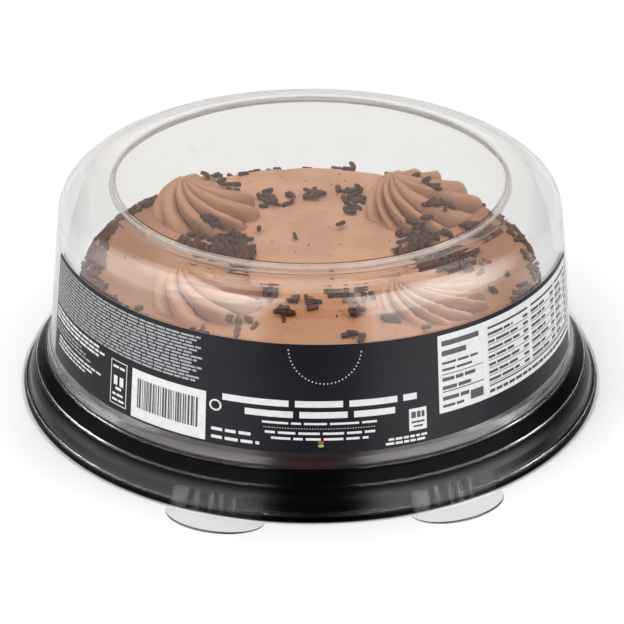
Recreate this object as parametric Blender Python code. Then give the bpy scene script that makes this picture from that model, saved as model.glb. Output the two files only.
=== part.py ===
"""Round layer cake in its shut retail pack: black tray, clear domed lid, label, piped rosettes.

Metres, +Z up. The origin is the centre of the tray's flat underside, and -Y is the front.
"""
import math

import bmesh
import bpy
import numpy as np

# Driving dimensions
GAP = 0.0003                  # between pieces that touch
SEGMENTS = 48                 # facets round the turned pieces

RIM_RADIUS = 0.1242           # outermost edge of lid and tray
LID_HEIGHT = 0.0932           # top panel above the table
LID_WALL = 0.0008
PANEL_RADIUS = 0.0820         # raised flat panel in the lid's top
PANEL_STEP = 0.0026
SHOULDER_CENTRE = (0.0885, 0.0780)
SHOULDER_SIZE = (0.0168, 0.0138)
SHOULDER_POWER = 2.2          # superellipse exponent, squarer than a round
SHOULDER_POINTS = 6
WALL_TOP = (0.1058, 0.0750)
WALL_FOOT = (0.11095, 0.0225)

FLOOR_THICKNESS = 0.0016
TRAY_WALL_FOOT = 0.1054       # radius where the tray's floor turns up
CREST_RADIUS = 0.1104         # where the tray's wall turns over into its rim
CREST_TOP = 0.0172
RIM_BOTTOM = 0.0004           # lower edge of lid and tray above the table

TAB_AZIMUTHS = (-17.6, 28.0)  # degrees to the right of the front
TAB_HALF_ANGLE = 9.4
TAB_REACH = 0.0116
TAB_BOTTOM = 0.0005
TAB_THICKNESS = 0.0008
TAB_STATIONS = 9

BAND_START = -73.2            # the label's two ends, in degrees to the right of the front
BAND_END = 77.0
BAND_BOTTOM = 0.0250
BAND_TOP = 0.0710
BAND_THICKNESS = 0.0003
BAND_TILT = 0.8               # degrees that the label sits askew, left side high
BAND_CLIMB = 0.0028           # most that the label's lower edge rises towards its right end

CAKE_RADIUS = 0.0962
CAKE_TOP = 0.0525
CAKE_EDGE = 0.0055            # rounding of the cake's top edge

# Each rosette: middle of its base, radius, height, how far its tip leans, turn in degrees
ROSETTES = (((-0.0460, 0.0455), 0.0235, 0.0180, (-0.0090, -0.0010), 0.0),
            ((0.0490, 0.0495), 0.0260, 0.0180, (-0.0130, 0.0000), 14.0),
            ((-0.0420, -0.0350), 0.0238, 0.0180, (-0.0103, -0.0028), -9.0),
            ((0.0490, -0.0350), 0.0235, 0.0145, (-0.0140, -0.0070), 7.0))
ROSETTE_LOBES = 11
ROSETTE_LOBE_DEPTH = 0.17
ROSETTE_SWIRL = 34.0          # degrees that a ridge turns on its way down, anticlockwise from above
ROSETTE_ROWS = 6
POINTS_PER_LOBE = 4


def make_material(name, colour, roughness, alpha=1.0):
    """A Principled material with one colour."""
    material = bpy.data.materials.new(name)
    material.use_nodes = True
    shader = material.node_tree.nodes["Principled BSDF"]
    shader.inputs["Base Color"].default_value = (*colour, 1.0)
    shader.inputs["Roughness"].default_value = roughness
    shader.inputs["Metallic"].default_value = 0.0
    shader.inputs["Alpha"].default_value = alpha
    return material


def add_object(name, mesh, material):
    """Link a mesh to the scene as a smooth-shaded object with sharp edges kept."""
    mesh.materials.append(material)
    mesh.shade_smooth()
    mesh.set_sharp_from_angle(angle=math.radians(35.0))
    part = bpy.data.objects.new(name, mesh)
    bpy.context.collection.objects.link(part)
    return part


def closed_mesh(name, vertices, faces):
    """A mesh from points and faces, with doubles merged and faces turned outward."""
    mesh = bpy.data.meshes.new(name)
    mesh.from_pydata([tuple(v) for v in vertices], [], faces)
    shape = bmesh.new()
    shape.from_mesh(mesh)
    bmesh.ops.remove_doubles(shape, verts=shape.verts, dist=1e-6)
    bmesh.ops.recalc_face_normals(shape, faces=shape.faces)
    shape.to_mesh(mesh)
    shape.free()
    return mesh


def turned_mesh(name, outline):
    """Spin a closed outline of (radius, height) points round the Z axis."""
    shape = bmesh.new()
    points = [shape.verts.new((radius, 0.0, height)) for radius, height in outline]
    edges = [shape.edges.new(pair) for pair in zip(points, points[1:])]
    if outline[0][0] > 0.0:
        edges.append(shape.edges.new((points[-1], points[0])))
    bmesh.ops.spin(shape, geom=points + edges, cent=(0, 0, 0), axis=(0, 0, 1),
                   angle=math.tau, steps=SEGMENTS, use_merge=True)
    bmesh.ops.remove_doubles(shape, verts=shape.verts, dist=1e-6)
    bmesh.ops.recalc_face_normals(shape, faces=shape.faces)
    mesh = bpy.data.meshes.new(name)
    shape.to_mesh(mesh)
    shape.free()
    return mesh


def offset_line(points, distance):
    """Shift a line of points to its right by a distance, with mitred corners."""
    line = np.array(points)
    steps = np.diff(line, axis=0)
    steps /= np.linalg.norm(steps, axis=1)[:, None]
    normals = np.stack([steps[:, 1], -steps[:, 0]], axis=1)
    before = np.vstack([normals[:1], normals])
    after = np.vstack([normals, normals[-1:]])
    mitre = before + after
    mitre /= (mitre * after).sum(axis=1)[:, None]
    return [tuple(point) for point in line + mitre * distance]


def shoulder_curve():
    """Superellipse quarter from the lid's crown out and down to its wall."""
    power = 2.0 / SHOULDER_POWER
    turns = np.linspace(math.pi / 2, 0.0, SHOULDER_POINTS)
    radii = SHOULDER_CENTRE[0] + SHOULDER_SIZE[0] * np.abs(np.cos(turns)).round(9) ** power
    heights = SHOULDER_CENTRE[1] + SHOULDER_SIZE[1] * np.abs(np.sin(turns)).round(9) ** power
    return list(zip(radii, heights))


def flange_line():
    """Outside of the lid's flange, from the dome's foot down over two steps to the rim."""
    return [(0.1134, 0.0185),
            (0.1180, 0.0130),
            (0.1210, 0.0086),
            (0.1218, 0.0046),
            (RIM_RADIUS - 0.0010, 0.0038),
            (RIM_RADIUS - 0.0002, 0.0026),
            (RIM_RADIUS, RIM_BOTTOM)]


def lid_line():
    """Outside of the lid from the middle of its top to the lower edge of its rim."""
    groove = LID_HEIGHT - PANEL_STEP
    top = [(0.0, LID_HEIGHT),
           (PANEL_RADIUS, LID_HEIGHT),
           (PANEL_RADIUS + 0.0005, groove)]
    wall = [WALL_TOP, WALL_FOOT, (0.1125, 0.0199)]
    return top + shoulder_curve() + wall + flange_line()


def wall_radius(height):
    """Radius of the lid's outside at a height on its straight wall."""
    heights = (WALL_FOOT[1], WALL_TOP[1])
    radii = (WALL_FOOT[0], WALL_TOP[0])
    return float(np.interp(height, heights, radii))


def tab_section(share):
    """Section of a finger tab with the raised bridge over the rim; share runs from -1 to 1."""
    swell = math.sqrt(max(0.0, 1.0 - share * share))
    tip = RIM_RADIUS + 0.0003 + TAB_REACH * swell
    bridge = (0.1219 + 0.0015 * swell, 0.0048 + 0.0018 * swell)
    middle_of_wall = offset_line(flange_line(), LID_WALL / 2)[2:6]
    return [(RIM_RADIUS - 0.0005, TAB_BOTTOM),
            (tip, TAB_BOTTOM),
            (tip, TAB_BOTTOM + TAB_THICKNESS),
            (RIM_RADIUS + 0.0002, TAB_BOTTOM + TAB_THICKNESS + 0.0003),
            bridge] + middle_of_wall


def tab_mesh(name, azimuth):
    """Sweep the tab's section round the rim, from one end of the tab to the other."""
    vertices = []
    for share in np.sin(np.linspace(-1.45, 1.45, TAB_STATIONS)):
        angle = math.radians(azimuth + share * TAB_HALF_ANGLE)
        for radius, height in tab_section(share):
            vertices.append((radius * math.sin(angle), -radius * math.cos(angle), height))
    count = len(tab_section(0.0))
    faces = [tuple(range(count)), tuple(range(len(vertices) - count, len(vertices)))]
    for station in range(TAB_STATIONS - 1):
        for corner in range(count):
            first = station * count + corner
            second = station * count + (corner + 1) % count
            faces.append((first, second, second + count, first + count))
    return closed_mesh(name, vertices, faces)


def add_lid(material):
    """Clear lid: one thin shell with a flange, and finger tabs joined to its rim."""
    outside = lid_line()
    inside = offset_line(outside, LID_WALL)
    inside[0] = (0.0, inside[0][1])
    inside[-1] = (inside[-1][0], RIM_BOTTOM)
    lid = add_object("lid_dome", turned_mesh("lid_dome", outside + inside[::-1]), material)
    for number, azimuth in enumerate(TAB_AZIMUTHS, start=1):
        tab = add_object(f"tab_{number}", tab_mesh(f"tab_{number}", azimuth), material)
        tab.hide_render = True
        tab.display_type = "WIRE"
        union = lid.modifiers.new(f"join_tab_{number}", "BOOLEAN")
        union.operation = "UNION"
        union.solver = "EXACT"
        union.object = tab
    return lid


def add_tray(material):
    """Black tray, parted at its crest into the dish that holds the cake and the hollow rim round it."""
    parting = CREST_RADIUS + GAP
    outer = offset_line(flange_line(), LID_WALL + GAP)[1:]
    outer[-1] = (outer[-1][0], RIM_BOTTOM)
    dish = [(0.0, FLOOR_THICKNESS),
            (TRAY_WALL_FOOT, FLOOR_THICKNESS),
            (0.1088, 0.0162),
            (CREST_RADIUS, CREST_TOP),
            (CREST_RADIUS, 0.0156),
            (0.1098, 0.0155),
            (0.1064, 0.0),
            (0.0, 0.0)]
    rim = [(parting, CREST_TOP),
           (0.1122, 0.0171)] + outer + [(outer[-1][0] - 0.0010, RIM_BOTTOM),
                                        (0.1209, 0.0020),
                                        (0.1196, 0.0030),
                                        (0.1187, 0.0079),
                                        (0.1160, 0.0118),
                                        (0.1118, 0.0158),
                                        (parting, 0.0157)]
    add_object("base_tray", turned_mesh("base_tray", dish), material)
    add_object("tray_rim", turned_mesh("tray_rim", rim), material)


def add_band(material):
    """Printed label round the front of the lid's wall, following its taper and slightly askew.

    Its lower edge rises with the square of the sine of the angle to the right."""
    facet = 360.0 / SEGMENTS
    between = np.arange(math.ceil(BAND_START / facet), math.floor(BAND_END / facet) + 1) * facet
    azimuths = np.radians([BAND_START, *between, BAND_END])
    vertices = []
    for azimuth in azimuths:
        drop = wall_radius(BAND_BOTTOM) * math.sin(azimuth) * math.tan(math.radians(BAND_TILT))
        low = BAND_BOTTOM + BAND_CLIMB * max(math.sin(azimuth), 0.0) ** 2
        for height, proud in ((low, GAP), (low, GAP + BAND_THICKNESS),
                              (BAND_TOP, GAP + BAND_THICKNESS), (BAND_TOP, GAP)):
            radius = wall_radius(height - drop) + proud
            vertices.append((radius * math.sin(azimuth), -radius * math.cos(azimuth),
                             height - drop))
    last = len(vertices) - 4
    faces = [(0, 1, 2, 3), (last, last + 1, last + 2, last + 3)]
    for first in range(0, last, 4):
        for corner in range(4):
            second = (corner + 1) % 4
            faces.append((first + corner, first + second, first + 4 + second, first + 4 + corner))
    return add_object("label_band", closed_mesh("label_band", vertices, faces), material)


def add_cake(material):
    """Frosted round cake with a rounded top edge and a slightly bellied side."""
    bottom = FLOOR_THICKNESS + GAP
    turns = np.linspace(math.pi / 2, 0.0, 4)
    centre = CAKE_RADIUS - CAKE_EDGE
    edge = [(centre + CAKE_EDGE * math.cos(turn), CAKE_TOP - CAKE_EDGE * (1.0 - math.sin(turn)))
            for turn in turns]
    outline = [(0.0, CAKE_TOP)] + edge + [(CAKE_RADIUS, 0.0060),
                                         (CAKE_RADIUS - 0.0025, bottom),
                                         (0.0, bottom)]
    return add_object("cake", turned_mesh("cake", outline), material)


def rosette_row(spread, radius, height, lean, turn):
    """One ring of a rosette: rounded lobes with sharp grooves, turned by the swirl as it rises."""
    count = ROSETTE_LOBES * POINTS_PER_LOBE
    around = np.linspace(0.0, math.tau, count, endpoint=False)
    lobe = np.abs(np.sin(around * ROSETTE_LOBES / 2.0)) ** 0.8
    radii = radius * spread * (1.0 - ROSETTE_LOBE_DEPTH * (1.0 - lobe))
    angles = around + math.radians(turn - ROSETTE_SWIRL * (1.0 - spread))
    rise = height * (0.6 * (1.0 - spread ** 2) + 0.4 * (1.0 - spread))
    shift = np.array(lean) * (1.0 - spread) ** 1.2
    return np.stack([shift[0] + radii * np.cos(angles), shift[1] + radii * np.sin(angles),
                     np.full(count, rise)], axis=1)


def rosette_mesh(name, radius, height, lean, turn):
    """A piped star swirl on a flat base, with ridges that fan out from a leaning tip."""
    spreads = np.cos(np.linspace(0.0, math.pi / 2, ROSETTE_ROWS + 1)[:-1]) ** 1.1
    rows = [rosette_row(spread, radius, height, lean, turn) for spread in spreads]
    count = len(rows[0])
    vertices = np.vstack(rows + [[(*lean, height)]])
    faces = [tuple(range(count))]
    for row in range(len(rows) - 1):
        for point in range(count):
            first = row * count + point
            second = row * count + (point + 1) % count
            faces.append((first, second, second + count, first + count))
    last = (len(rows) - 1) * count
    faces += [(last + point, last + (point + 1) % count, len(vertices) - 1) for point in range(count)]
    return closed_mesh(name, vertices, faces)


def add_rosettes(material):
    """Four piped rosettes on the cake, each with its own size and lean."""
    for number, (centre, radius, height, lean, turn) in enumerate(ROSETTES, start=1):
        name = f"rosette_{number}"
        rosette = add_object(name, rosette_mesh(name, radius, height, lean, turn), material)
        rosette.location = (*centre, CAKE_TOP + GAP)


def main():
    for old in list(bpy.data.objects):
        bpy.data.objects.remove(old)
    add_tray(make_material("tray_black", (0.012, 0.012, 0.013), 0.22))
    add_lid(make_material("lid_clear", (0.92, 0.93, 0.93), 0.05, alpha=0.3))
    add_band(make_material("band_print", (0.018, 0.019, 0.024), 0.35))
    add_cake(make_material("frosting", (0.47, 0.22, 0.11), 0.5))
    add_rosettes(make_material("piped_frosting", (0.47, 0.23, 0.13), 0.5))


main()
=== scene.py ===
import math

import bpy
import numpy as np
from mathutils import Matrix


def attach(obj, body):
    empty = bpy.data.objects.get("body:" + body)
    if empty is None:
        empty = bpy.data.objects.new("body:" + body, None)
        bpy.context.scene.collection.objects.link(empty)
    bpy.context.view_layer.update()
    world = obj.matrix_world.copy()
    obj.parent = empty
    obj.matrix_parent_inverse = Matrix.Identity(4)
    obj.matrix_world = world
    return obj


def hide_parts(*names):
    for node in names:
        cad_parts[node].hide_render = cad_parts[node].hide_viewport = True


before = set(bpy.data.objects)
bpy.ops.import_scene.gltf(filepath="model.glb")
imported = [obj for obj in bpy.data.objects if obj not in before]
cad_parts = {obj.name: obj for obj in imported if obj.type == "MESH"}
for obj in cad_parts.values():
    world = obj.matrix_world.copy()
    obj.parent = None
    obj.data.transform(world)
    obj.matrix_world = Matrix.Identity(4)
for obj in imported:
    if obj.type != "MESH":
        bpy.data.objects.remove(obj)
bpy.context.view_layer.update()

scene = bpy.context.scene
scene.view_settings.view_transform = "Standard"
print("frame loaded:", ", ".join(sorted(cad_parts)))


class Value:
    # one output socket of a node tree, on which ordinary arithmetic adds Math nodes
    def __init__(self, look, socket):
        self.look = look
        self.socket = socket

    def maths(self, operation, first, second):
        return self.look.node("ShaderNodeMath", {"operation": operation}, {0: first, 1: second})

    def __add__(self, other):
        return self.maths("ADD", self, other)

    def __sub__(self, other):
        return self.maths("SUBTRACT", self, other)

    def __rsub__(self, other):
        return self.maths("SUBTRACT", other, self)

    def __mul__(self, other):
        return self.maths("MULTIPLY", self, other)

    def __truediv__(self, other):
        return self.maths("DIVIDE", self, other)

    def __pow__(self, other):
        return self.maths("POWER", self, other)

    __radd__ = __add__
    __rmul__ = __mul__


class Look:
    # a node tree with one way to add any node: its type, its settings, then its sockets
    def __init__(self, owner):
        owner.use_nodes = True
        self.owner = owner
        self.tree = owner.node_tree
        self.tree.nodes.clear()

    def node(self, kind, settings=None, sockets=None, out=0):
        made = self.tree.nodes.new(kind)
        for key, setting in (settings or {}).items():
            setattr(made, key, setting)
        for key, value in (sockets or {}).items():
            if isinstance(value, Value):
                self.tree.links.new(value.socket, made.inputs[key])
            else:
                made.inputs[key].default_value = value
        return Value(self, made.outputs[out] if made.outputs else None)

    def place(self, stretch=(1.0, 1.0, 1.0)):
        # the piece's own coordinates in metres, stretched along each axis
        own = self.node("ShaderNodeTexCoord", out=3)
        return self.node("ShaderNodeMapping", {}, {"Vector": own, "Scale": stretch})

    def apart(self, vector):
        # the three numbers of a vector
        parts = self.node("ShaderNodeSeparateXYZ", {}, {"Vector": vector})
        return [Value(self, parts.socket.node.outputs[k]) for k in "XYZ"]

    def noise(self, scale, detail=3.0, stretch=(1.0, 1.0, 1.0)):
        return self.node("ShaderNodeTexNoise", {},
                         {"Vector": self.place(stretch), "Scale": scale, "Detail": detail})

    def between(self, low, high, value):
        # 0 below low, 1 above high, smooth in between
        return self.node("ShaderNodeMapRange", {"interpolation_type": "SMOOTHSTEP"},
                         {"Value": value, "From Min": low, "From Max": high})

    def mix(self, share, first, second):
        return self.node("ShaderNodeMix", {"data_type": "RGBA"},
                         {0: share, 6: first, 7: second}, out=2)

    def bump(self, height, distance, strength=1.0):
        return self.node("ShaderNodeBump", {},
                         {"Height": height, "Distance": distance, "Strength": strength})

    def surface(self, shader):
        self.node("ShaderNodeOutputMaterial", {}, {"Surface": shader})
        return self.owner


def newLook(name):
    return Look(bpy.data.materials.new(name))


def rgb(red, green, blue):
    return (red, green, blue, 1.0)


def makePiece(name, points, faces, material, nodes=(), smooth=True, crease=None):
    # one mesh from an array of points and arrays of corner numbers, which rides on the body;
    # edges sharper than the crease, in degrees, aren't smoothed
    mesh = bpy.data.meshes.new(name)
    sizes = np.concatenate([np.full(len(f), f.shape[1]) for f in faces])
    corners = np.concatenate([f.ravel() for f in faces]).astype(np.int32)
    mesh.vertices.add(len(points))
    mesh.vertices.foreach_set("co", np.asarray(points, np.float32).ravel())
    mesh.loops.add(len(corners))
    mesh.loops.foreach_set("vertex_index", corners)
    mesh.polygons.add(len(sizes))
    starts = np.concatenate([[0], np.cumsum(sizes)[:-1]]).astype(np.int32)
    mesh.polygons.foreach_set("loop_start", starts)
    mesh.polygons.foreach_set("use_smooth", np.full(len(sizes), smooth))
    mesh.update(calc_edges=True)
    mesh.validate()
    if crease:
        mesh.set_sharp_from_angle(angle=math.radians(crease))
    mesh.materials.append(material)
    piece = bpy.data.objects.new(name, mesh)
    scene.collection.objects.link(piece)
    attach(piece, "root")
    if nodes:
        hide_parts(*nodes)
    print(f"made {name}: {int((sizes - 2).sum())} triangles")
    return piece


def turnedFaces(rows, columns):
    # quads between the rows of a form closed round the axis, and fans to the two poles,
    # which are the last two points
    row, column = np.meshgrid(np.arange(rows - 1), np.arange(columns), indexing="ij")
    after = (column + 1) % columns
    quads = np.stack([row * columns + column, (row + 1) * columns + column,
                      (row + 1) * columns + after, row * columns + after], -1).reshape(-1, 4)
    turn = np.arange(columns)
    following = (turn + 1) % columns
    last = (rows - 1) * columns
    top = np.stack([np.full(columns, rows * columns), turn, following], -1)
    foot = np.stack([np.full(columns, rows * columns + 1), last + following, last + turn], -1)
    return [quads, np.vstack([top, foot])]


def around(radius, azimuth, height):
    # azimuth in radians to the right of the front, which is -Y
    return np.stack(np.broadcast_arrays(radius * np.sin(azimuth),
                                        -radius * np.cos(azimuth), height), -1)


def filletLine(points, reach, steps=5):
    # each inner corner becomes the quadratic curve between two points a short reach from it
    line = [np.array(points[0])]
    for before, corner, after in zip(points, points[1:], points[2:]):
        before, corner, after = (np.array(p, float) for p in (before, corner, after))
        back, ahead = before - corner, after - corner
        start = corner + back * min(0.45, reach / np.linalg.norm(back))
        end = corner + ahead * min(0.45, reach / np.linalg.norm(ahead))
        for t in np.linspace(0.0, 1.0, steps):
            line.append((1 - t) ** 2 * start + 2 * t * (1 - t) * corner + t ** 2 * end)
    line.append(np.array(points[-1]))
    return np.array(line)


def stepLine(line, longest):
    # straight runs longer than a step are divided evenly
    parts = [line[:1]]
    for start, end in zip(line, line[1:]):
        count = max(1, math.ceil(np.linalg.norm(end - start) / longest))
        parts.append(start + (end - start) * np.linspace(0, 1, count + 1)[1:, None])
    return np.vstack(parts)


def resampled(points, count):
    # count points at even distances along a line
    line = np.asarray(points, float)
    along = np.concatenate([[0], np.cumsum(np.linalg.norm(np.diff(line, axis=0), axis=1))])
    places = np.linspace(0, along[-1], count)
    return np.stack([np.interp(places, along, line[:, k]) for k in (0, 1)], -1)


def offsetLine(points, distance):
    # the line moved to its right, with mitred corners
    line = np.asarray(points, float)
    steps = np.diff(line, axis=0)
    steps /= np.linalg.norm(steps, axis=1)[:, None]
    normals = np.stack([steps[:, 1], -steps[:, 0]], 1)
    before, after = np.vstack([normals[:1], normals]), np.vstack([normals, normals[-1:]])
    mitre = before + after
    return line + mitre / (mitre * after).sum(1)[:, None] * distance


def valueNoise(points, scale, seed):
    # a random number at each corner of a lattice, blended smoothly between corners, -1 to 1
    table = np.random.default_rng(seed).random(4096) * 2 - 1
    cell = np.asarray(points) * scale
    base = np.floor(cell).astype(np.int64)
    part = cell - base
    part = part * part * (3 - 2 * part)
    total = np.zeros(cell.shape[:-1])
    for corner in np.ndindex(2, 2, 2):
        at = base + corner
        pick = (at[..., 0] * 73856093 ^ at[..., 1] * 19349663 ^ at[..., 2] * 83492791) & 4095
        weight = np.prod(np.where(np.array(corner) == 1, part, 1 - part), -1)
        total += table[pick] * weight
    return total


def smoothStep(low, high, value):
    share = np.clip((value - low) / (high - low), 0, 1)
    return share * share * (3 - 2 * share)


view = {"place": (0.0, -0.9951, 0.5594), "pitch": 28.09, "lens": 152.3, "shiftX": 0.00242}
# the sky's strength, its spread and tilt in degrees, and the floor's shade
light = {"sky": 1.9, "spread": 100.0, "tilt": 12.0, "floor": 0.97, "mottle": 0.01}
# each lamp's place, width and power
lamps = {"key": ((-0.9, -0.7, 1.2), 0.9, 9.0), "fill": ((1.0, -0.5, 0.9), 0.9, 3.5),
         "top": ((0.1, 0.5, 1.4), 1.0, 5.5)}
# the room that gloss mirrors: brightness of its front, of its back at the horizon and above, and
# of the panels low and high, and where each changes; "open" and "rear" are degrees from the
# front and from the back between which a panel begins and ends
room = {"front": 0.03, "turn": (-0.1, 0.4), "horizon": 0.85, "back": 0.36, "dusk": (-0.05, 0.30),
        "low": 2.9, "high": 4.2, "climb": (-0.30, 0.0), "right": 0.28, "crown": (0.88, 0.97),
        "crownLoss": 0.95, "open": (13.0, 28.0), "middle": 2.0, "rear": (75.0, 115.0),
        "rearMiddle": -8.0, "rise": 0.5}


def addCamera():
    data = bpy.data.cameras.new("camera")
    data.lens = view["lens"]
    data.shift_x = view["shiftX"]
    data.clip_end = 20.0
    camera = bpy.data.objects.new("camera", data)
    camera.location = view["place"]
    camera.rotation_euler = (math.radians(90.0 - view["pitch"]), 0.0, 0.0)
    scene.collection.objects.link(camera)
    scene.camera = camera


def addFloor():
    mesh = bpy.data.meshes.new("floor")
    mesh.from_pydata([(-4, -4, 0), (4, -4, 0), (4, 4, 0), (-4, 4, 0)], [], [(0, 1, 2, 3)])
    look = newLook("floorLook")
    shade, paler = light["floor"], light["floor"] + light["mottle"]
    colour = look.mix(look.noise(6.0), rgb(shade, shade, shade), rgb(paler, paler, paler))
    mesh.materials.append(look.surface(look.node("ShaderNodeBsdfPrincipled", {}, {
        "Base Color": colour, "Roughness": 1.0, "Specular IOR Level": 0.0})))
    floor = bpy.data.objects.new("floor", mesh)
    floor.visible_glossy = False      # the dome mirrors the pale studio, not the floor
    scene.collection.objects.link(floor)


def addLamp(name, place, size, power):
    data = bpy.data.lights.new(name, "AREA")
    data.shape = "SQUARE"
    data.size = size
    data.energy = power
    lamp = bpy.data.objects.new(name, data)
    lamp.location = place
    aim = np.array((0.0, 0.0, 0.04)) - np.array(place)      # at the middle of the pack
    side = math.atan2(aim[0], -aim[1])
    lamp.rotation_euler = (math.atan2(math.hypot(aim[0], aim[1]), -aim[2]), 0.0, side + math.pi)
    lamp.visible_glossy = False
    scene.collection.objects.link(lamp)


def addRoom():
    # a dark room with a pale back, brightest at the horizon, and a tall soft panel at each side:
    # the panels leave a gap in front, are brighter above the horizon and to the right, and reach
    # further behind the object the higher they are. It is seen in gloss only
    world = bpy.data.worlds.new("studio")
    scene.world = world
    look = Look(world)
    across, depth, height = look.apart(look.node("ShaderNodeTexCoord", out=0))
    level = (across * across + depth * depth + 0.0001) ** 0.5
    front, behind = (math.radians(room[key]) for key in ("middle", "rearMiddle"))
    ahead = (across * math.sin(front) - depth * math.cos(front)) / level
    rear = (across * math.sin(behind) - depth * math.cos(behind)) / level + height * room["rise"]
    shut, wide = (math.cos(math.radians(a)) for a in room["open"])
    near, far = (math.cos(math.radians(a)) for a in room["rear"])
    sides = (1.0 - look.between(wide, shut, ahead)) * look.between(far, near, rear)
    panel = look.between(*room["climb"], height) * (room["high"] - room["low"]) + room["low"]
    panel = panel * (across * room["right"] + 1.0)
    crown = 1.0 - look.between(*room["crown"], height) * room["crownLoss"]
    back = look.between(*room["dusk"], height) * (room["back"] - room["horizon"]) + room["horizon"]
    plain = look.between(*room["turn"], depth) * (back - room["front"]) + room["front"]
    shining = look.node("ShaderNodeBackground", {}, {
        "Color": rgb(1.0, 0.99, 0.98), "Strength": plain + sides * panel * crown})
    look.node("ShaderNodeOutputWorld", {}, {"Surface": shining})
    world.cycles_visibility.diffuse = False


def addLight():
    # one wide soft sky and three lamps, all hidden from gloss
    sky = bpy.data.lights.new("sky", "SUN")
    sky.energy = light["sky"]
    sky.angle = math.radians(light["spread"])
    above = bpy.data.objects.new("sky", sky)
    above.rotation_euler = (math.radians(light["tilt"]), 0.0, 0.0)
    above.visible_glossy = False
    scene.collection.objects.link(above)
    for name, (place, size, power) in lamps.items():
        addLamp(name, place, size, power)


addCamera()
addFloor()
addRoom()
addLight()
print("camera, floor and light are in")


# the painted sheen comes in over these depths, the painted shade at the sides over these
# squares of the distance from the middle plane, and the painted shade at the foot over these
# heights
cake = {"radius": 0.0962, "top": 0.0525, "edge": 0.0055, "foot": 0.0019,
        "columns": 420, "swell": 0.00045, "grain": 0.00006,
        "light": rgb(0.475, 0.220, 0.107), "dark": rgb(0.420, 0.188, 0.088),
        "centre": rgb(0.665, 0.356, 0.226), "centreFrom": (-0.050, 0.005),
        # the rim colour is painted shade, deeper at both sides
        "rim": rgb(0.280, 0.130, 0.066), "sideShadeFrom": (0.0012, 0.0060), "sideShadeShare": 0.85,
        "footShade": rgb(0.210, 0.142, 0.148), "footShadeFrom": (0.014, 0.026)}
crumb = {"colour": rgb(0.16, 0.07, 0.045), "scale": 170.0, "size": (0.035, 0.07),
         "patches": (0.52, 0.60)}


def frostingLook(name, piece):
    # soft mottled colour, a few tiny dark crumbs, fine grain and shallow air marks. Spread
    # frosting has a painted sheen, paler from its middle to its back, and painted shade, deeper
    # at both sides and at its foot. Piped frosting has painted shade where its own groove number
    # is near 1
    look = newLook(name)
    broad = look.between(0.35, 0.65, look.noise(45.0, 4.0))
    colour = look.mix(broad, piece["dark"], piece["light"])
    if "centre" in piece:
        across, depth, height = look.apart(look.place())
        # painted sheen: paler from the top's middle to its back
        centre = look.between(*piece["centreFrom"], depth) * (0.5 + 0.4 * broad)
        colour = look.mix(centre, colour, piece["centre"])
        # painted shade: the top deepens towards both sides
        rim = look.between(*piece["sideShadeFrom"], across * across) * piece["sideShadeShare"]
        colour = look.mix(rim, colour, piece["rim"])
        # painted shade at the foot, greyed by a painted haze
        foot = (1.0 - look.between(*piece["footShadeFrom"], height)) * (look.noise(60.0) * 0.6 + 0.6)
        colour = look.mix(foot, colour, piece["footShade"])
    if "groove" in piece:
        # painted shade: piped frosting darkens in its grooves
        cut = look.node("ShaderNodeAttribute", {"attribute_name": "groove"}, out=2)
        colour = look.mix(look.between(0.45, 1.0, cut), colour, piece["groove"])
    dots = look.node("ShaderNodeTexVoronoi", {}, {"Vector": look.place(), "Scale": crumb["scale"]})
    crumbs = 1.0 - look.between(*crumb["size"], dots)
    crumbs = crumbs * look.between(*crumb["patches"], look.noise(70.0))
    colour = look.mix(crumbs, colour, crumb["colour"])
    grain = look.noise(900.0, 4.0)
    marks = look.noise(220.0, 3.0)
    return look.surface(look.node("ShaderNodeBsdfPrincipled", {}, {
        "Base Color": colour, "Roughness": look.noise(120.0) * 0.18 + 0.42,
        "Normal": look.bump(grain * 0.35 + marks, piece["grain"]),
        "Subsurface Weight": 0.12, "Subsurface Scale": 0.003,
        "Subsurface Radius": (1.0, 0.5, 0.3), "Specular IOR Level": 0.25}))


def cakeHeight(radius):
    # height of the frosted top and its rounded edge at a distance from the axis
    inner = cake["radius"] - cake["edge"]
    out = np.clip((radius - inner) / cake["edge"], 0, 1)
    return cake["top"] - cake["edge"] * (1 - np.sqrt(1 - out * out))


def addCake():
    # a profile turned round the axis, pushed along its slope by smooth noise
    inner = cake["radius"] - cake["edge"]
    turn = np.linspace(math.pi / 2, 0, 12)
    rounded = np.stack([inner + cake["edge"] * np.cos(turn),
                        cake["top"] - cake["edge"] * (1 - np.sin(turn))], -1)
    line = np.vstack([[(0.0008, cake["top"])], rounded, [(cake["radius"], 0.006)],
                      [(cake["radius"] - 0.0025, cake["foot"])], [(0.0008, cake["foot"])]])
    line = stepLine(line, 0.0016)
    azimuth = np.linspace(0, math.tau, cake["columns"], endpoint=False)
    points = around(line[:, 0][:, None], azimuth[None], line[:, 1][:, None])
    slope = np.gradient(line, axis=0)
    slope /= np.linalg.norm(slope, axis=1)[:, None]
    outward = around((-slope[:, 1])[:, None], azimuth[None], slope[:, 0][:, None])
    free = smoothStep(0.003, 0.006, points[..., 2])
    wave = valueNoise(points, 55.0, 3) + 0.45 * valueNoise(points, 160.0, 4)
    strokes = valueNoise(points * (1.0, 4.0, 1.0), 90.0, 5)
    points = points + outward * ((wave + 0.5 * strokes) * cake["swell"] * free)[..., None]
    poles = [(0, 0, points[0, :, 2].mean()), (0, 0, cake["foot"])]
    makePiece("cakeFrosting", np.vstack([points.reshape(-1, 3), poles]),
              turnedFaces(len(line), cake["columns"]), frostingLook("spreadFrosting", cake),
              ["cake"])


addCake()


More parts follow.
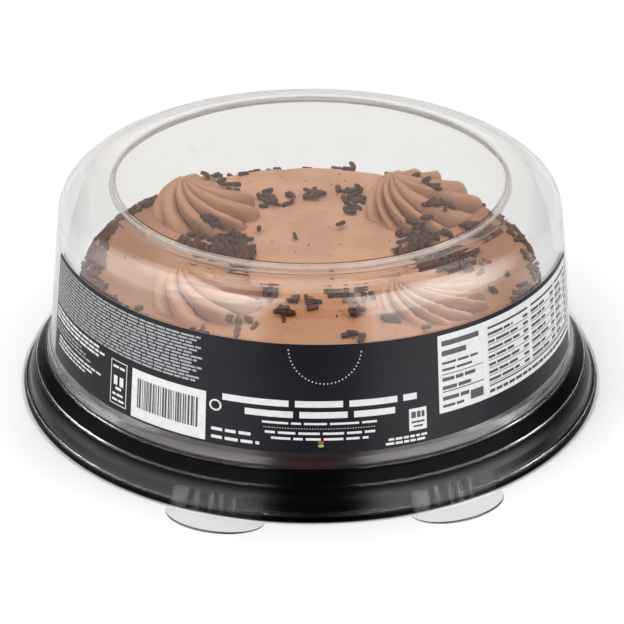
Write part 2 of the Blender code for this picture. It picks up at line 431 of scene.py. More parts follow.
# swirl, hook and overlap are in degrees, and depth is a share of a ring's radius
rosette = {"rows": 72, "pointsPerLobe": 32, "swirl": 66.0, "hook": 7.0, "depth": 0.36,
           "deepest": 0.0076, "fullness": 0.28, "overlap": 5.0, "foot": 1.12, "grain": 0.00008,
           "light": rgb(0.540, 0.275, 0.152), "dark": rgb(0.480, 0.235, 0.125),
           # the groove colour is painted shade for the folds' grooves
           "groove": rgb(0.150, 0.058, 0.030)}
# middle of the base, radius, height, lean of the tip, turn in degrees, folds
swirls = [((-0.0460, 0.0455), 0.0240, 0.0180, (-0.0090, -0.0010), 0.0, 9),
          ((0.0490, 0.0495), 0.0265, 0.0180, (-0.0130, 0.0000), 14.0, 10),
          ((-0.0420, -0.0350), 0.0242, 0.0180, (-0.0103, -0.0028), -9.0, 9),
          ((0.0490, -0.0350), 0.0240, 0.0145, (-0.0140, -0.0070), 7.0, 12)]


def rosettePoints(number):
    # star-shaped rings from a leaning tip to the foot. A ring's radius is the sine of an angle,
    # and its height mixes the cosine with a straight cone. A fold is a power of a sine, round on
    # its crest and sharp in its groove, and the groove is cut along the surface's slope. Folds
    # differ in width and reach, lean over the next groove, and turn with the ring's radius
    (centreX, centreY), radius, height, lean, turn, folds = swirls[number]
    rng = np.random.default_rng(30 + number)
    widths = rng.uniform(0.7, 1.35, folds)
    edges = np.concatenate([[0], np.cumsum(widths)]) / widths.sum() * math.tau
    theta = np.linspace(0, math.tau, folds * rosette["pointsPerLobe"], endpoint=False)
    along = np.interp(theta, edges, np.arange(folds + 1))
    reach = rng.uniform(0.80, 1.12, folds)[np.floor(along).astype(int)]
    fold = np.sin(math.pi * (along % 1)) ** 0.55
    angle = np.linspace(0.03, math.pi / 2 * rosette["foot"], rosette["rows"])[:, None]
    spread = np.sin(angle)
    full = spread ** (1 - rosette["fullness"] * fold[None] * np.clip(angle / 1.2, 0, 1))
    rise = height * (0.62 * np.cos(angle) + 0.38 * (1 - spread))
    slope = np.stack([np.gradient(radius * spread[:, 0]), np.gradient(rise[:, 0])], -1)
    slope /= np.linalg.norm(slope, axis=1)[:, None]
    deepest = np.minimum(rosette["depth"] * radius * spread, rosette["deepest"])
    cut = (1 - fold * reach)[None] * deepest
    cut = cut * (1 + 0.2 * valueNoise(np.stack(np.broadcast_arrays(
        np.cos(theta)[None], np.sin(theta)[None], angle), -1), 2.2, number))
    radii = radius * full + slope[:, 1][:, None] * cut
    rise = rise - slope[:, 0][:, None] * cut
    bearing = (theta[None] + math.radians(turn) - math.radians(rosette["swirl"]) * (1 - spread)
               + math.radians(rosette["hook"]) * spread ** 4
               + math.radians(rosette["overlap"]) * fold[None] * spread)
    drift = (1 - spread) ** 1.2
    points = np.stack([centreX + lean[0] * drift + radii * np.cos(bearing),
                       centreY + lean[1] * drift + radii * np.sin(bearing),
                       cake["top"] + rise], -1)
    points[..., 2] += 0.0002 * valueNoise(points, 260.0, 9 + number)
    points[..., 2] = np.maximum(points[..., 2], cake["top"] - 0.0012)
    tip = (centreX + lean[0], centreY + lean[1], points[0, :, 2].max() + 0.0002)
    foot = (centreX, centreY, cake["top"] - 0.0016)
    # painted shade: how far each groove is darkened, from partway down the swirl
    grooveShadeShare = np.broadcast_to((1 - fold)[None] * smoothStep(0.15, 0.6, spread), points.shape[:2])
    grooveShadeShare = np.append(grooveShadeShare.ravel(), [0, 0])
    return np.vstack([points.reshape(-1, 3), [tip, foot]]), grooveShadeShare, len(theta)


def addRosettes():
    material = frostingLook("pipedFrosting", rosette)
    surfaces = []
    for number in range(len(swirls)):
        points, grooveShadeShare, count = rosettePoints(number)
        piece = makePiece(f"rosetteSwirl{number + 1}", points, turnedFaces(rosette["rows"], count),
                          material, [f"rosette_{number + 1}"])
        piece.data.attributes.new("groove", "FLOAT", "POINT").data.foreach_set("value", grooveShadeShare)
        surfaces.append(points)
    return np.vstack(surfaces)


swirlPoints = addRosettes()


sprinkle = {"around": 8, "radius": (0.00088, 0.00122), "length": (0.0034, 0.0066),
            "bend": 0.10, "seed": 12, "lift": 0.0006, "pile": 0.0010, "tilt": 0.14, "skew": 0.7,
            "light": rgb(0.098, 0.030, 0.013), "dark": rgb(0.036, 0.010, 0.004),
            "crumbs": 170, "crumbSpread": 0.089, "crumbLength": (0.0003, 0.0009),
            "crumbRadius": (0.00012, 0.00030)}
# groups: middle x, y, half width, half depth in millimetres, how many
groups = [(-19, 59, 4, 10, 14), (-10, 59, 2, 6, 4), (0, 63, 5, 5, 9), (12, 67, 1, 3, 2),
          (19, 57, 5, 15, 20), (13, 32, 1, 2, 1), (-23, 26, 1, 2, 1), (-7, 22, 2, 2, 1),
          (-40, 16, 16, 10, 58), (-36, 3, 14, 8, 56), (50, 20, 14, 8, 34), (73, 27, 8, 8, 16),
          (54, 4, 19, 9, 66), (-17, -29, 3, 6, 10), (-7, -37, 1, 3, 2), (-11, -47, 3, 6, 5),
          (1, -39, 4, 5, 7), (9, -23, 2, 12, 4), (19, -31, 7, 8, 12), (19, -48, 3, 3, 4),
          (33, -54, 4, 5, 3), (-28, -57, 7, 4, 6), (-30, -67, 1, 2, 1), (46, -61, 1, 2, 1),
          (-70, -44, 1, 2, 1), (78, -12, 8, 18, 5), (64, -10, 2, 3, 1), (20, 92, 1, 1, 1),
          (-38, 54, 9, 9, 10), (54, 43, 10, 12, 13), (-37, -8, 12, 3, 30), (53, -7, 13, 3, 24),
          (8, -10, 1, 2, 1), (15, -66, 3, 1, 2), (21, -68, 2, 1, 2), (-45, -64, 4, 2, 3)]
# stretches of the rim: first and last azimuth in degrees, how many, how far onto the top and
# down the side in mm
rimRuns = [(-128, -100, 90, 6, 7), (-100, -52, 300, 7, 14), (-54, -44, 34, 8, 8),
           (-44, -36, 6, 4, 6), (90, 118, 34, 4, 5), (62, 90, 44, 4, 8), (-150, -128, 8, 4, 2),
           (118, 150, 10, 4, 2), (150, 210, 14, 4, 2)]


def surfaceHeight(x, y):
    # the higher of the cake's top and the highest piped point in the same square millimetre, in
    # a table that reaches this many millimetres each way from the axis
    half = 120
    high = np.zeros((2 * half + 1, 2 * half + 1))
    piped = np.rint((swirlPoints[:, :2] + half / 1000) * 1000).astype(int)
    np.maximum.at(high, (piped[:, 0], piped[:, 1]), swirlPoints[:, 2])
    column, row = (np.rint((v + half / 1000) * 1000).astype(int) for v in (x, y))
    return np.maximum(cakeHeight(np.hypot(x, y)), high[column, row])


def capsules(places, directions, lengths, radii, bends):
    # rods with round ends: rings whose radius follows a flattened circle at the ends, on an
    # axis bent into a shallow parabola
    along = np.array([-1.0, -0.93, -0.72, 0.0, 0.72, 0.93, 1.0])
    wide = np.array([0.30, 0.72, 0.98, 1.0, 0.98, 0.72, 0.30])
    rings, sides = len(along), sprinkle["around"]
    turn = np.linspace(0, math.tau, sides, endpoint=False)
    ahead = directions / np.linalg.norm(directions, axis=1)[:, None]
    side = np.cross(ahead, (0.0, 0.0, 1.0))
    side /= np.linalg.norm(side, axis=1)[:, None]
    above = np.cross(side, ahead)
    travel = (along * 0.5)[None, :, None] * lengths[:, None, None]
    bow = (along ** 2 - 0.4)[None, :, None] * (lengths * bends)[:, None, None]
    middle = places[:, None] + ahead[:, None] * travel + side[:, None] * bow
    reach = wide[None, :, None, None] * radii[:, None, None, None]
    ring = (side[:, None, None] * np.cos(turn)[None, None, :, None]
            + above[:, None, None] * np.sin(turn)[None, None, :, None])
    points = (middle[:, :, None] + ring * reach).reshape(len(places), rings * sides, 3)
    poles = np.stack([middle[:, 0] - ahead * radii[:, None] * 0.15,
                      middle[:, -1] + ahead * radii[:, None] * 0.15], 1)
    points = np.concatenate([points, poles], 1)
    quads, caps = turnedFaces(rings, sides)
    shift = (np.arange(len(places)) * (rings * sides + 2))[:, None, None]
    return points.reshape(-1, 3), [(quads[None] + shift).reshape(-1, 4),
                                   (caps[None] + shift).reshape(-1, 3)]


def sprinkleLook():
    look = newLook("chocolateSprinkle")
    tone = look.between(0.3, 0.7, look.noise(110.0))
    colour = look.mix(tone, sprinkle["dark"], sprinkle["light"])
    return look.surface(look.node("ShaderNodeBsdfPrincipled", {}, {
        "Base Color": colour, "Roughness": look.noise(700.0) * 0.25 + 0.38,
        "Specular IOR Level": 0.16,
        "Normal": look.bump(look.noise(1500.0), 0.00010)}))


def groupedSprinkles(rng):
    # even random places in each ellipse, piled higher the more crowded it is, pointing anywhere
    spots, tilts = [], []
    for x, y, wide, grooveShadeShare, count in groups:
        radius, turn = np.sqrt(rng.random(count)), rng.random(count) * math.tau
        px = (x + wide * radius * np.cos(turn)) / 1000
        py = (y + grooveShadeShare * radius * np.sin(turn)) / 1000
        crowd = count / (math.pi * wide * grooveShadeShare)
        layer = rng.random(count) * min(1.6, 14 * crowd) * sprinkle["pile"]
        spots.append(np.stack([px, py, surfaceHeight(px, py) + sprinkle["lift"] + layer], -1))
        yaw = rng.random(count) * math.tau
        lean = rng.normal(0, sprinkle["tilt"], count)
        tilts.append(np.stack([np.cos(yaw), np.sin(yaw), lean], -1))
    return spots, tilts


def rimSprinkles(rng):
    # random travel over the rounded edge: flat on the top, round the bend, then down the side,
    # each lying more or less along the rim
    spots, tilts = [], []
    reach, bend = 0.004, 0.0086       # flat part before the edge, and the arc's length
    inner = cake["radius"] - cake["edge"]
    for first, last, count, inward, down in rimRuns:
        azimuth = np.radians(rng.uniform(first, last, count))
        travel = rng.uniform(-inward, down, count) / 1000
        bow = np.clip((travel + reach) / bend, 0, 1) * math.pi / 2
        below = np.maximum(travel - (bend - reach), 0)
        radius = inner + (cake["edge"] + 0.0004) * np.sin(bow) + np.minimum(travel + reach, 0)
        height = cake["top"] - cake["edge"] * (1 - np.cos(bow)) + 0.0005 * np.cos(bow) - below
        spots.append(around(radius, azimuth, height))
        yaw = rng.normal(0, sprinkle["skew"], count)
        tangent = around(np.zeros(count) + 1.0, azimuth + math.pi / 2, 0.0)
        fall = around(np.cos(bow), azimuth, -np.sin(bow))
        tilts.append(tangent * np.cos(yaw)[:, None] + fall * np.sin(yaw)[:, None])
    return spots, tilts


def addSprinkles(rng):
    spots, tilts = groupedSprinkles(rng)
    rimSpots, rimTilts = rimSprinkles(rng)
    places, directions = np.vstack(spots + rimSpots), np.vstack(tilts + rimTilts)
    count = len(places)
    points, faces = capsules(places, directions, rng.uniform(*sprinkle["length"], count),
                             rng.uniform(*sprinkle["radius"], count),
                             rng.normal(0, sprinkle["bend"], count))
    makePiece("chocolateSprinkles", points, faces, sprinkleLook())


def addCrumbs(rng):
    # the same rods, as short as they are thick, spread evenly over the top
    count = sprinkle["crumbs"]
    radius = sprinkle["crumbSpread"] * np.sqrt(rng.random(count))
    turn = rng.random(count) * math.tau
    x, y = radius * np.cos(turn), radius * np.sin(turn)
    places = np.stack([x, y, surfaceHeight(x, y) + 0.0001], -1)
    directions = rng.normal(0, 1, (count, 3)) * (1, 1, 0.2)
    points, faces = capsules(places, directions, rng.uniform(*sprinkle["crumbLength"], count),
                             rng.uniform(*sprinkle["crumbRadius"], count), np.zeros(count))
    makePiece("chocolateCrumbs", points, faces, sprinkleLook())


scatter = np.random.default_rng(sprinkle["seed"])
addSprinkles(scatter)
addCrumbs(scatter)


# the flange's outer line, radius and height, from its top down to its foot
flange = [(0.1134, 0.0185), (0.1180, 0.0130), (0.1210, 0.0086), (0.1218, 0.0046),
          (0.1232, 0.0038), (0.1240, 0.0026), (0.1242, 0.0004)]
# the sheet is drawn thinner and glossier down the rim's outer slope, between these heights
tray = {"columns": 360, "gap": 0.0011, "round": 0.0007, "rest": 0.0004,
        "light": rgb(0.0022, 0.0022, 0.0025), "dark": rgb(0.0009, 0.0009, 0.0010),
        "glazeTop": (0.0085, 0.0122), "glazeFoot": (0.0022, 0.0040), "coat": 0.55}


def trayLook():
    look = newLook("blackFormedPlastic")
    height = look.apart(look.place())[2]
    glaze = 1.0 - look.between(*tray["glazeTop"], height)
    glaze = glaze * look.between(*tray["glazeFoot"], height)
    return look.surface(look.node("ShaderNodeBsdfPrincipled", {}, {
        "Base Color": look.mix(look.noise(28.0, 4.0), tray["dark"], tray["light"]),
        "Roughness": look.noise(60.0, 4.0) * 0.10 + 0.12, "Specular IOR Level": 0.03,
        "Coat Weight": glaze * tray["coat"], "Coat Roughness": 0.16,
        "Normal": look.bump(look.noise(45.0, 1.0), 0.00004)}))


def addTray():
    # one formed sheet turned round the axis: floor, wall, crest and a rim hollow underneath
    rim = offsetLine(flange, tray["gap"])[1:]
    rim[-1, 1] = tray["rest"]
    upper = [(0.0008, 0.0016), (0.1054, 0.0016), (0.1088, 0.0162), (0.1104, 0.0172),
             (0.1122, 0.0171)] + [tuple(p) for p in rim]
    under = [(rim[-1, 0] - 0.0010, tray["rest"]), (0.1209, 0.0020), (0.1196, 0.0030),
             (0.1187, 0.0079), (0.1160, 0.0118), (0.1118, 0.0158), (0.1098, 0.0155),
             (0.1064, 0.0), (0.0008, 0.0)]
    line = stepLine(filletLine(upper + under, tray["round"], 4), 0.004)
    azimuth = np.linspace(0, math.tau, tray["columns"], endpoint=False)
    points = around(line[:, 0][:, None], azimuth[None], line[:, 1][:, None])
    makePiece("formedTray", np.vstack([points.reshape(-1, 3), [(0, 0, 0.0016), (0, 0, 0)]]),
              turnedFaces(len(line), tray["columns"]), trayLook(),
              ["base_tray", "tray_rim"])


addTray()


# angles are in degrees. "tight" is where the flange lies on the tray, "past" where the tabs leave
# it, and "panelStep" the step round the raised panel: its lowest, its inner and its outer limit
lid = {"wall": 0.0006, "step": 1.5, "fine": 0.24, "wave": 0.00010, "flangeRows": 26,
       "tabs": (-17.6, 28.0), "halfAngle": 9.4, "margin": 0.6, "base": 0.1240, "rim": 0.1242,
       "reach": 0.0116, "plate": (0.0007, 0.0003), "plateRows": 9,
       "ribs": (-3.8, -1.0, 0.9, 3.4), "rib": 0.0006, "ribWide": 0.24, "facet": (-0.97, -0.66),
       "facetGloss": 0.55, "tabGloss": 0.10}
sheet = {"tight": (0.0250, 0.0262), "past": (0.1243, 0.1248), "foot": (0.0194, 0.0200),
         "footShine": 0.60, "bridge": (0.0080, 0.0096), "tabShine": 0.55,
         "panelStep": ((0.0892, 0.0900), (0.0806, 0.0812), (0.0832, 0.0840)), "stepClear": 0.55,
         "ripple": (0.024, 0.034), "soften": 0.0002,
         "glossy": ((0.0184, 0.0189, 0.60), (0.0131, 0.0137, 0.60), (0.0036, 0.0042, 0.60))}


def clearLook():
    # clear sheet: glass for what is seen, open to lamps and to light between dull pieces. The
    # flange lies tight on the tray and has lost its gloss, but for part of it at its foot, along
    # its creases and across the tabs. The step round the raised panel has lost about half
    look = newLook("clearFormedPlastic")
    passed = look.node("ShaderNodeBsdfTransparent", {}, {"Color": rgb(0.95, 0.95, 0.95)})
    across, depth, height = look.apart(look.place())
    ripple = look.noise(70.0, 2.0) * look.between(*sheet["ripple"], height)
    glass = look.node("ShaderNodeBsdfGlass", {}, {
        "Color": rgb(0.990, 0.992, 0.988), "Roughness": 0.0, "IOR": 1.49,
        "Normal": look.bump(ripple, 0.00004)})
    reach = (across * across + depth * depth) ** 0.5
    tight = 1.0 - look.between(*sheet["tight"], height)
    tight = tight * (1.0 - look.between(*sheet["past"], reach))
    tight = tight * (1.0 - look.between(*sheet["foot"], height) * sheet["footShine"])
    soft = sheet["soften"]
    for low, high, shine in sheet["glossy"]:
        crease = 1.0 - look.between(high - soft, high, height)
        crease = crease * look.between(low, low + soft, height)
        tight = tight * (1.0 - crease * shine)
    # the tabs' gloss, with the painted highlight at each tab's left end
    raised = look.node("ShaderNodeAttribute", {"attribute_name": "raised"}, out=2)
    bridge = raised * (1.0 - look.between(*sheet["bridge"], height))
    tight = tight * (1.0 - bridge * sheet["tabShine"])
    lowest, inside, outside = sheet["panelStep"]
    step = look.between(*lowest, height) * look.between(*inside, reach)
    step = step * (1.0 - look.between(*outside, reach))
    seen = look.node("ShaderNodeMixShader", {},
                     {0: tight + step * sheet["stepClear"], 1: glass, 2: passed})
    dull = look.node("ShaderNodeLightPath", out=2)
    opened = look.node("ShaderNodeMixShader", {}, {0: dull, 1: seen, 2: passed})
    shadow = look.node("ShaderNodeLightPath", out=1)
    return look.surface(look.node("ShaderNodeMixShader", {}, {0: shadow, 1: opened, 2: passed}))


def lidAzimuths():
    # even steps round the lid, with fine ones across the two tabs
    coarse = np.arange(-180.0, 180.0, lid["step"])
    fine = []
    half = lid["halfAngle"] + lid["margin"]
    for tab in lid["tabs"]:
        coarse = coarse[np.abs(coarse - tab) > half]
        fine.append(np.arange(tab - half, tab + half, lid["fine"]))
    return np.sort(np.concatenate([coarse, *fine]))


def lidSections():
    # the outside from the pole to the flange's top, the inside back to the pole, and two ways
    # down the flange between them: the plain one and the bridge across a tab. The shoulder is a
    # quarter of a superellipse
    turn = np.linspace(math.pi / 2, 0, 11)
    shoulder = np.stack([0.0885 + 0.0168 * np.cos(turn) ** (2 / 2.2),
                         0.0780 + 0.0138 * np.sin(turn) ** (2 / 2.2)], -1)
    shape = ([(0.0008, 0.0932), (0.0820, 0.0932), (0.0825, 0.0906)]
             + [tuple(p) for p in shoulder]
             + [(0.1058, 0.0750), (0.11095, 0.0225), (0.1121, 0.0214), (0.1122, 0.0204),
                (0.1134, 0.0185), (0.1174, 0.0137), (0.1180, 0.0137), (0.1183, 0.0131)])
    outer = stepLine(filletLine(shape, 0.0006, 4), 0.005)
    # the small steps and beads aren't followed inside
    plainer = [q for q in shape if q not in ((0.1121, 0.0214), (0.1174, 0.0137), (0.1180, 0.0137))]
    within = offsetLine(plainer + flange[2:], lid["wall"])[:-4]
    inner = stepLine(filletLine(within, 0.0005, 4), 0.006)[::-1]
    start = [shape[-1]]
    plain = filletLine(start + flange[2:], 0.0005, 4)
    bridge = filletLine(start + [(0.1210, 0.0088), (0.1234, 0.0066), (0.1244, 0.0016)], 0.0006, 4)
    return outer, inner, *(resampled(line, lid["flangeRows"])[1:] for line in (plain, bridge))


def tabForm(degrees):
    # at each azimuth: how far the plate is out, as half an ellipse; how far the flange has gone
    # over to the bridge; the ribs, as bell curves; and the gloss of the ribs, with a painted
    # highlight at each tab's left end
    offsets = [(degrees - t) / lid["halfAngle"] for t in lid["tabs"]]
    swell = np.sqrt(np.clip(1 - np.min(np.abs(offsets), axis=0) ** 2, 0, 1))
    raised = smoothStep(0.0, 0.55, swell)
    ribs = sum(np.exp(-((degrees - t - r) / lid["ribWide"]) ** 2)
               for t in lid["tabs"] for r in lid["ribs"])
    # painted highlight: more gloss across the left end of each tab, where the light falls
    first, last = lid["facet"]
    facets = sum(smoothStep(first, first + 0.06, o) * (1 - smoothStep(last, last + 0.10, o))
                 for o in offsets)
    gloss = np.clip(ribs + lid["facetGloss"] * facets + lid["tabGloss"], 0, 1) * raised
    return swell, raised, ribs * raised, gloss


def addLid():
    # a section of outside, tab plate and inside, carried round the axis: across a tab the
    # flange goes over to a raised bridge and the plate grows out along half an ellipse
    outer, inner, plain, bridge = lidSections()
    degrees = lidAzimuths()
    count = len(degrees)
    swell, raised, ribs, gloss = tabForm(degrees)
    blend = raised[None, :, None]
    flangePart = plain[:, None] * (1 - blend) + bridge[:, None] * blend
    hump = np.sin(np.linspace(0, math.pi, len(plain)))[:, None] * ribs[None] * lid["rib"]
    flangePart = flangePart + np.stack([hump, hump], -1)
    tip = lid["rim"] + lid["reach"] * swell
    out = np.linspace(0.12, 1, lid["plateRows"])
    plates = [np.stack([lid["base"] + (tip - lid["base"])[None] * share[:, None],
                        np.full((len(out), count), height)], -1)
              for share, height in zip((out, out[::-1]), lid["plate"])]
    foot = np.broadcast_to(np.array([0.1236, 0.0005])[None, None], (1, count, 2))
    whole = np.concatenate([np.broadcast_to(outer[:, None], (len(outer), count, 2)),
                            flangePart, *plates, foot,
                            np.broadcast_to(inner[:, None], (len(inner), count, 2))])
    points = around(whole[..., 0], np.radians(degrees)[None], whole[..., 1])
    wave = lid["wave"] * (valueNoise(points, 38.0, 21) - 1) * smoothStep(0.02, 0.03, points[..., 2])
    points[..., :2] *= (1 + wave / 0.1)[..., None]
    points[..., 2] += wave * smoothStep(0.085, 0.09, points[..., 2])
    poles = [(0, 0, points[0, :, 2].mean()), (0, 0, points[-1, :, 2].mean())]
    piece = makePiece("clearLid", np.vstack([points.reshape(-1, 3), poles]),
                      turnedFaces(len(whole), count), clearLook(), ["lid_dome"])
    # the attribute carries the tabs' gloss, with its painted highlight
    values = np.append(np.tile(gloss, len(whole)), [0.0, 0.0])
    piece.data.attributes.new("raised", "FLOAT", "POINT").data.foreach_set("value", values)


addLid()


# a painted highlight: a pale, partly see-through band on the raised panel's step
ringHighlight = {"inside": 0.0829, "outside": 0.0832, "foot": 0.0910, "top": 0.0928, "columns": 240,
            "alpha": 0.32, "patches": 0.3}


def addRingHighlight():
    # a painted highlight on the raised panel's step: a thin pale band turned round the axis
    inside, outside, low, high = (ringHighlight[key] for key in ("inside", "outside", "foot", "top"))
    line = np.array([(outside, high), (outside, low), (inside, low), (inside, high)])
    columns = ringHighlight["columns"]
    azimuth = np.linspace(0, math.tau, columns, endpoint=False)
    points = around(line[:, 0][:, None], azimuth[None], line[:, 1][:, None])
    row, column = np.meshgrid(np.arange(len(line)), np.arange(columns), indexing="ij")
    below, after = (row + 1) % len(line), (column + 1) % columns
    quads = np.stack([row * columns + column, below * columns + column,
                      below * columns + after, row * columns + after], -1)
    look = newLook("paintedRingHighlight")
    cloud = look.noise(90.0) * ringHighlight["patches"] + (ringHighlight["alpha"] - ringHighlight["patches"] / 2)
    material = look.surface(look.node("ShaderNodeBsdfPrincipled", {}, {
        "Base Color": look.mix(look.noise(300.0), rgb(0.80, 0.80, 0.78), rgb(0.90, 0.90, 0.88)),
        "Alpha": cloud, "Roughness": 0.35}))
    makePiece("panelRingHighlight", points.reshape(-1, 3), [quads.reshape(-1, 4)], material)


addRingHighlight()


band = {"bottom": 0.0250, "top": 0.0710, "gap": 0.0003, "thick": 0.0003, "tilt": 0.8,
        "start": -73.2, "end": 77.0, "climb": 0.0028, "columns": 220, "lift": 0.00006, "seed": 41,
        "ink": rgb(0.0125, 0.013, 0.0175), "deepInk": rgb(0.0085, 0.009, 0.0125),
        "backing": rgb(0.55, 0.55, 0.54), "inkFrom": (0.00040, 0.00048)}
wall = {"low": (0.0225, 0.11095), "high": (0.0750, 0.1058)}     # height and radius of its ends


def wallRadius(height):
    return np.interp(height, *zip(wall["low"], wall["high"]))


def bandPoints(azimuth, height, proud):
    # the band leans a little: its right side sits lower than its left
    drop = wallRadius(band["bottom"]) * np.sin(azimuth) * math.tan(math.radians(band["tilt"]))
    place = height - drop
    return around(wallRadius(place) + band["gap"] + proud, azimuth, place)


def arcFaces(rows, columns):
    # quads of a closed section carried from one end to the other, with a face at each end
    row, column = np.meshgrid(np.arange(rows), np.arange(columns - 1), indexing="ij")
    below = (row + 1) % rows
    sides = np.stack([row * columns + column, below * columns + column,
                      below * columns + column + 1, row * columns + column + 1], -1)
    ends = [np.arange(rows)[::-1] * columns, np.arange(rows) * columns + columns - 1]
    return [sides.reshape(-1, 4), np.array(ends)]


def bandLook():
    # pale paper, inked where it stands well off the wall, which is its outer side
    look = newLook("darkPrintedPaper")
    ink = look.mix(look.between(0.3, 0.7, look.noise(40.0)), band["deepInk"], band["ink"])
    across, depth, height = look.apart(look.place())
    (low, wide), (high, narrow) = wall["low"], wall["high"]
    slope = (wide - narrow) / (high - low)
    proud = (across * across + depth * depth) ** 0.5 + (height - low) * slope - wide
    return look.surface(look.node("ShaderNodeBsdfPrincipled", {}, {
        "Base Color": look.mix(look.between(*band["inkFrom"], proud), band["backing"], ink),
        "Roughness": look.noise(220.0) * 0.12 + 0.30, "Specular IOR Level": 0.12,
        "Normal": look.bump(look.noise(900.0, 4.0, (1.0, 1.0, 3.0)), 0.00002)}))


def addBand():
    # a closed section of two rows of heights, carried round; the lower edge climbs to the right
    # with the square of the sine
    azimuth = np.radians(np.linspace(band["start"], band["end"], band["columns"]))
    low = band["bottom"] + band["climb"] * np.maximum(np.sin(azimuth), 0) ** 2
    shares = np.linspace(0, 1, 10)
    section = [(t, band["thick"]) for t in shares[::-1]] + [(t, 0.0) for t in shares]
    points = np.stack([bandPoints(azimuth, low + (band["top"] - low) * t, p) for t, p in section])
    makePiece("frontLabel", points.reshape(-1, 3), arcFaces(len(section), band["columns"]),
              bandLook(), ["label_band"], crease=30)


def addPrint(name, boxes, colour, lift):
    # thin curved plates on the band, one for each box of first and last azimuth in degrees,
    # bottom and top in millimetres; a wide box is cut into steps of at most 2.5 degrees
    cut = []
    for first, last, low, high in boxes:
        parts = max(1, math.ceil((last - first) / 2.5))
        edges = np.linspace(first, last, parts + 1)
        cut += [(a, b, low, high) for a, b in zip(edges, edges[1:])]
    cut = np.array(cut)
    turn = np.radians(cut[:, [0, 1, 1, 0, 0, 1, 1, 0]])
    height = cut[:, [2, 2, 3, 3, 2, 2, 3, 3]] / 1000
    proud = band["thick"] + np.array([1, 1, 1, 1, 0.3, 0.3, 0.3, 0.3]) * lift
    points = bandPoints(turn, height, proud)
    box = np.array([(0, 1, 2, 3), (5, 4, 7, 6), (0, 4, 5, 1),
                    (1, 5, 6, 2), (2, 6, 7, 3), (3, 7, 4, 0)])
    faces = (box[None] + (np.arange(len(cut)) * 8)[:, None, None]).reshape(-1, 4)
    look = newLook(name + "Look")
    worn = look.between(0.3, 0.8, look.noise(500.0, 4.0))
    tint = look.mix(worn, rgb(*colour), rgb(*(c * 0.88 for c in colour)))
    material = look.surface(look.node("ShaderNodeBsdfPrincipled", {}, {
        "Base Color": tint, "Roughness": look.noise(260.0) * 0.1 + 0.4}))
    makePiece(name, points.reshape(-1, 3), [faces], material, smooth=False)


def wordRow(rng, first, last, low, tall, word, gap):
    # plain bars of uneven length in a row, as small print reads from afar
    boxes, place = [], first
    while place < last - 0.4:
        end = min(last, place + rng.uniform(*word))
        boxes.append((place, end, low, low + tall))
        place = end + gap
    return boxes


def outline(first, last, low, high, wide):
    # a frame of four bars; wide is in millimetres
    turn = wide * 0.53
    inner = (low + wide, high - wide)
    return [(first, last, high - wide, high), (first, last, low, low + wide),
            (first, first + turn, *inner), (last - turn, last, *inner)]


# colour, and height over the paper as a multiple of the lift
prints = {"printPaper": ((0.90, 0.91, 0.92), 1.0), "printPale": ((0.88, 0.89, 0.90), 1.0),
          "printGrey": ((0.42, 0.43, 0.45), 1.0), "printDark": ((0.020, 0.020, 0.024), 2.2),
          "printRed": ((0.62, 0.05, 0.04), 1.0), "printGreen": ((0.35, 0.62, 0.10), 1.0)}


def leftPrint(rng, marks):
    # dense small rows with bolder ones below, then a small outlined panel with plain shapes
    pale, grey = marks["printPale"], marks["printGrey"]
    for k in range(14):
        last = -23.0 - 1.2 * (k % 3)
        grey += wordRow(rng, -72.6, last, 68.2 - 1.42 * k, 0.80, (1.0, 3.4), 0.30)
    for k in range(3):
        pale += wordRow(rng, -72.6, -51.0 + 2.0 * (k % 2), 47.2 - 1.9 * k, 1.0, (1.2, 3.0), 0.35)
    for k in range(3):
        grey += wordRow(rng, -72.6, -58.0 + 2.0 * k, 41.4 - 1.6 * k, 0.7, (0.9, 2.4), 0.35)
    for k in range(3):
        pale += wordRow(rng, -70.0, -50.0 - 3.0 * k, 35.8 - 1.8 * k, 0.8, (0.9, 2.4), 0.35)
    pale += outline(-46.6, -41.7, 27.4, 46.6, 0.35)
    for low in (43.4, 31.4, 29.0):
        pale += wordRow(rng, -45.9, -42.4, low, 1.0, (1.0, 2.2), 0.3)
    pale += [(-45.6, -44.5, 36.0, 40.0), (-43.8, -42.7, 36.0, 40.0), (-45.0, -43.3, 34.0, 35.2)]


def codePrint(rng, marks):
    # a pale panel with upright bars of random width, then a small ring and rows beside it
    pale = marks["printPale"]
    marks["printPaper"].append((-40.2, -21.9, 25.9, 46.8))
    place = -38.6
    while place < -23.6:
        wide = rng.choice([0.16, 0.16, 0.30, 0.44])
        marks["printDark"].append((place, place + wide, 30.6, 43.4))
        place += wide + rng.choice([0.16, 0.20, 0.34])
    for turn in np.radians(np.arange(0, 360, 20)):
        x, z = -19.8 + 1.15 * math.cos(turn), 41.8 + 2.1 * math.sin(turn)
        pale.append((x - 0.20, x + 0.20, z - 0.35, z + 0.35))
    pale += wordRow(rng, -20.6, -12.2, 31.0, 1.3, (1.4, 3.0), 0.6)
    pale += wordRow(rng, -20.6, -10.4, 27.6, 1.3, (1.4, 3.0), 0.6)


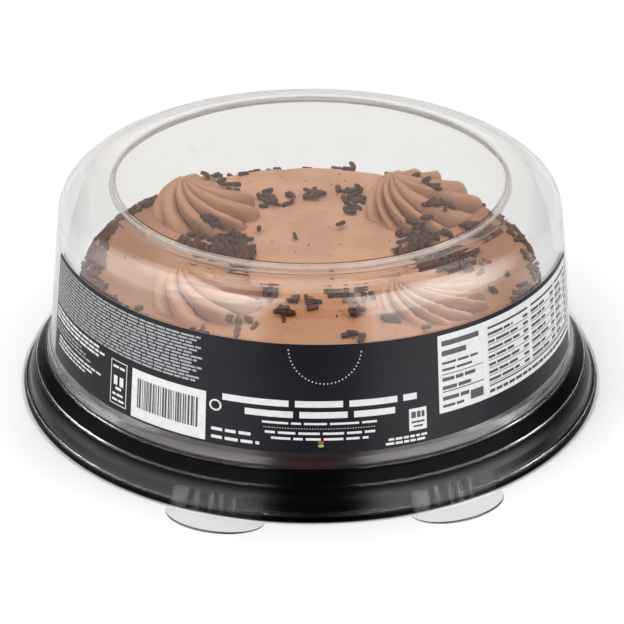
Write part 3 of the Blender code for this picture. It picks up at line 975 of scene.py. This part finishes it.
def frontPrint(rng, marks):
    # two tall rows, a small row, a dotted line and two small rows, then a white badge with plain
    # bars and rows under it, and two small round marks of colour near the lower edge
    pale, dark = marks["printPale"], marks["printDark"]
    pale += wordRow(rng, -18.3, 22.3, 44.6, 2.7, (8.0, 15.0), 1.3)
    pale += wordRow(rng, -13.5, 17.5, 40.0, 2.7, (6.0, 10.0), 1.3)
    pale += wordRow(rng, -9.9, 13.6, 37.2, 0.9, (1.6, 6.0), 0.6)
    pale += [(a, a + 0.25, 35.4, 35.65) for a in np.arange(-9.6, 13.4, 0.55)]
    pale += wordRow(rng, -9.3, 13.2, 33.0, 1.0, (1.4, 4.5), 0.6)
    pale += wordRow(rng, -8.0, 11.8, 30.6, 1.0, (1.4, 4.5), 0.6)
    marks["printPaper"].append((20.5, 24.4, 31.2, 40.6))
    dark += wordRow(rng, 21.0, 23.9, 36.6, 2.6, (0.7, 1.1), 0.25)
    dark += [(21.0, 23.9, 34.4, 35.2), (21.4, 23.5, 32.6, 33.3)]
    pale += wordRow(rng, 16.0, 24.4, 28.4, 1.0, (0.8, 1.8), 0.3)
    pale += wordRow(rng, 15.4, 24.4, 26.6, 1.0, (0.8, 1.8), 0.3)
    for name, low in (("printRed", 29.2), ("printGreen", 27.7)):
        marks[name] += [(1.7, 2.5, low, low + 1.2), (1.5, 2.7, low + 0.3, low + 0.9)]


def tablePrint(rng, marks):
    # a large white panel on the right with a heading, columns, rules and rows
    dark = marks["printDark"]
    marks["printPaper"].append((27.4, 76.4, 35.8, 69.0))
    dark += [(28.3, 37.8, 64.2, 66.4), (28.3, 34.4, 60.0, 62.2)]
    for low, tall, last in ((56.4, 1.0, 37.6), (53.6, 1.0, 36.0), (49.2, 1.5, 36.6),
                            (45.6, 1.5, 35.4), (41.0, 1.6, 34.8), (38.0, 1.1, 34.0)):
        dark += wordRow(rng, 28.3, last, low, tall, (1.4, 4.2), 0.4)
    dark.append((35.2, 38.6, 38.2, 42.0))
    dark += [(28.3, 38.8, 51.9, 52.2), (28.3, 38.8, 44.5, 44.9)]
    for first, last in ((40.4, 53.6), (55.0, 66.0), (67.2, 75.4)):
        dark.append((first, last, 65.2, 66.1))
        for k in range(7):
            low = 62.4 - 3.3 * k
            dark += wordRow(rng, first, last - rng.uniform(3.2, 5.5), low, 1.1, (1.8, 4.6), 0.4)
            dark.append((last - 1.8, last, low, low + 1.1))
            dark.append((first, last, low - 0.95, low - 0.72))
    dark.append((40.4, 75.6, 40.4, 41.0))
    dark += wordRow(rng, 40.4, 75.4, 37.6, 1.3, (1.0, 2.8), 0.4)


def topDots(marks):
    # a plain half ring of dots at the top edge, left empty inside
    for turn in np.radians(np.arange(184, 357, 6)):
        x, z = 3.0 + 7.6 * math.cos(turn), 69.6 + 15.0 * math.sin(turn)
        marks["printPale"].append((x - 0.13, x + 0.13, z - 0.22, z + 0.22))


def addPrints():
    rng = np.random.default_rng(band["seed"])
    marks = {name: [] for name in prints}
    for part in (leftPrint, codePrint, frontPrint, tablePrint):
        part(rng, marks)
    topDots(marks)
    for name, (colour, lift) in prints.items():
        addPrint(name, marks[name], colour, band["lift"] * lift)


addBand()
addPrints()
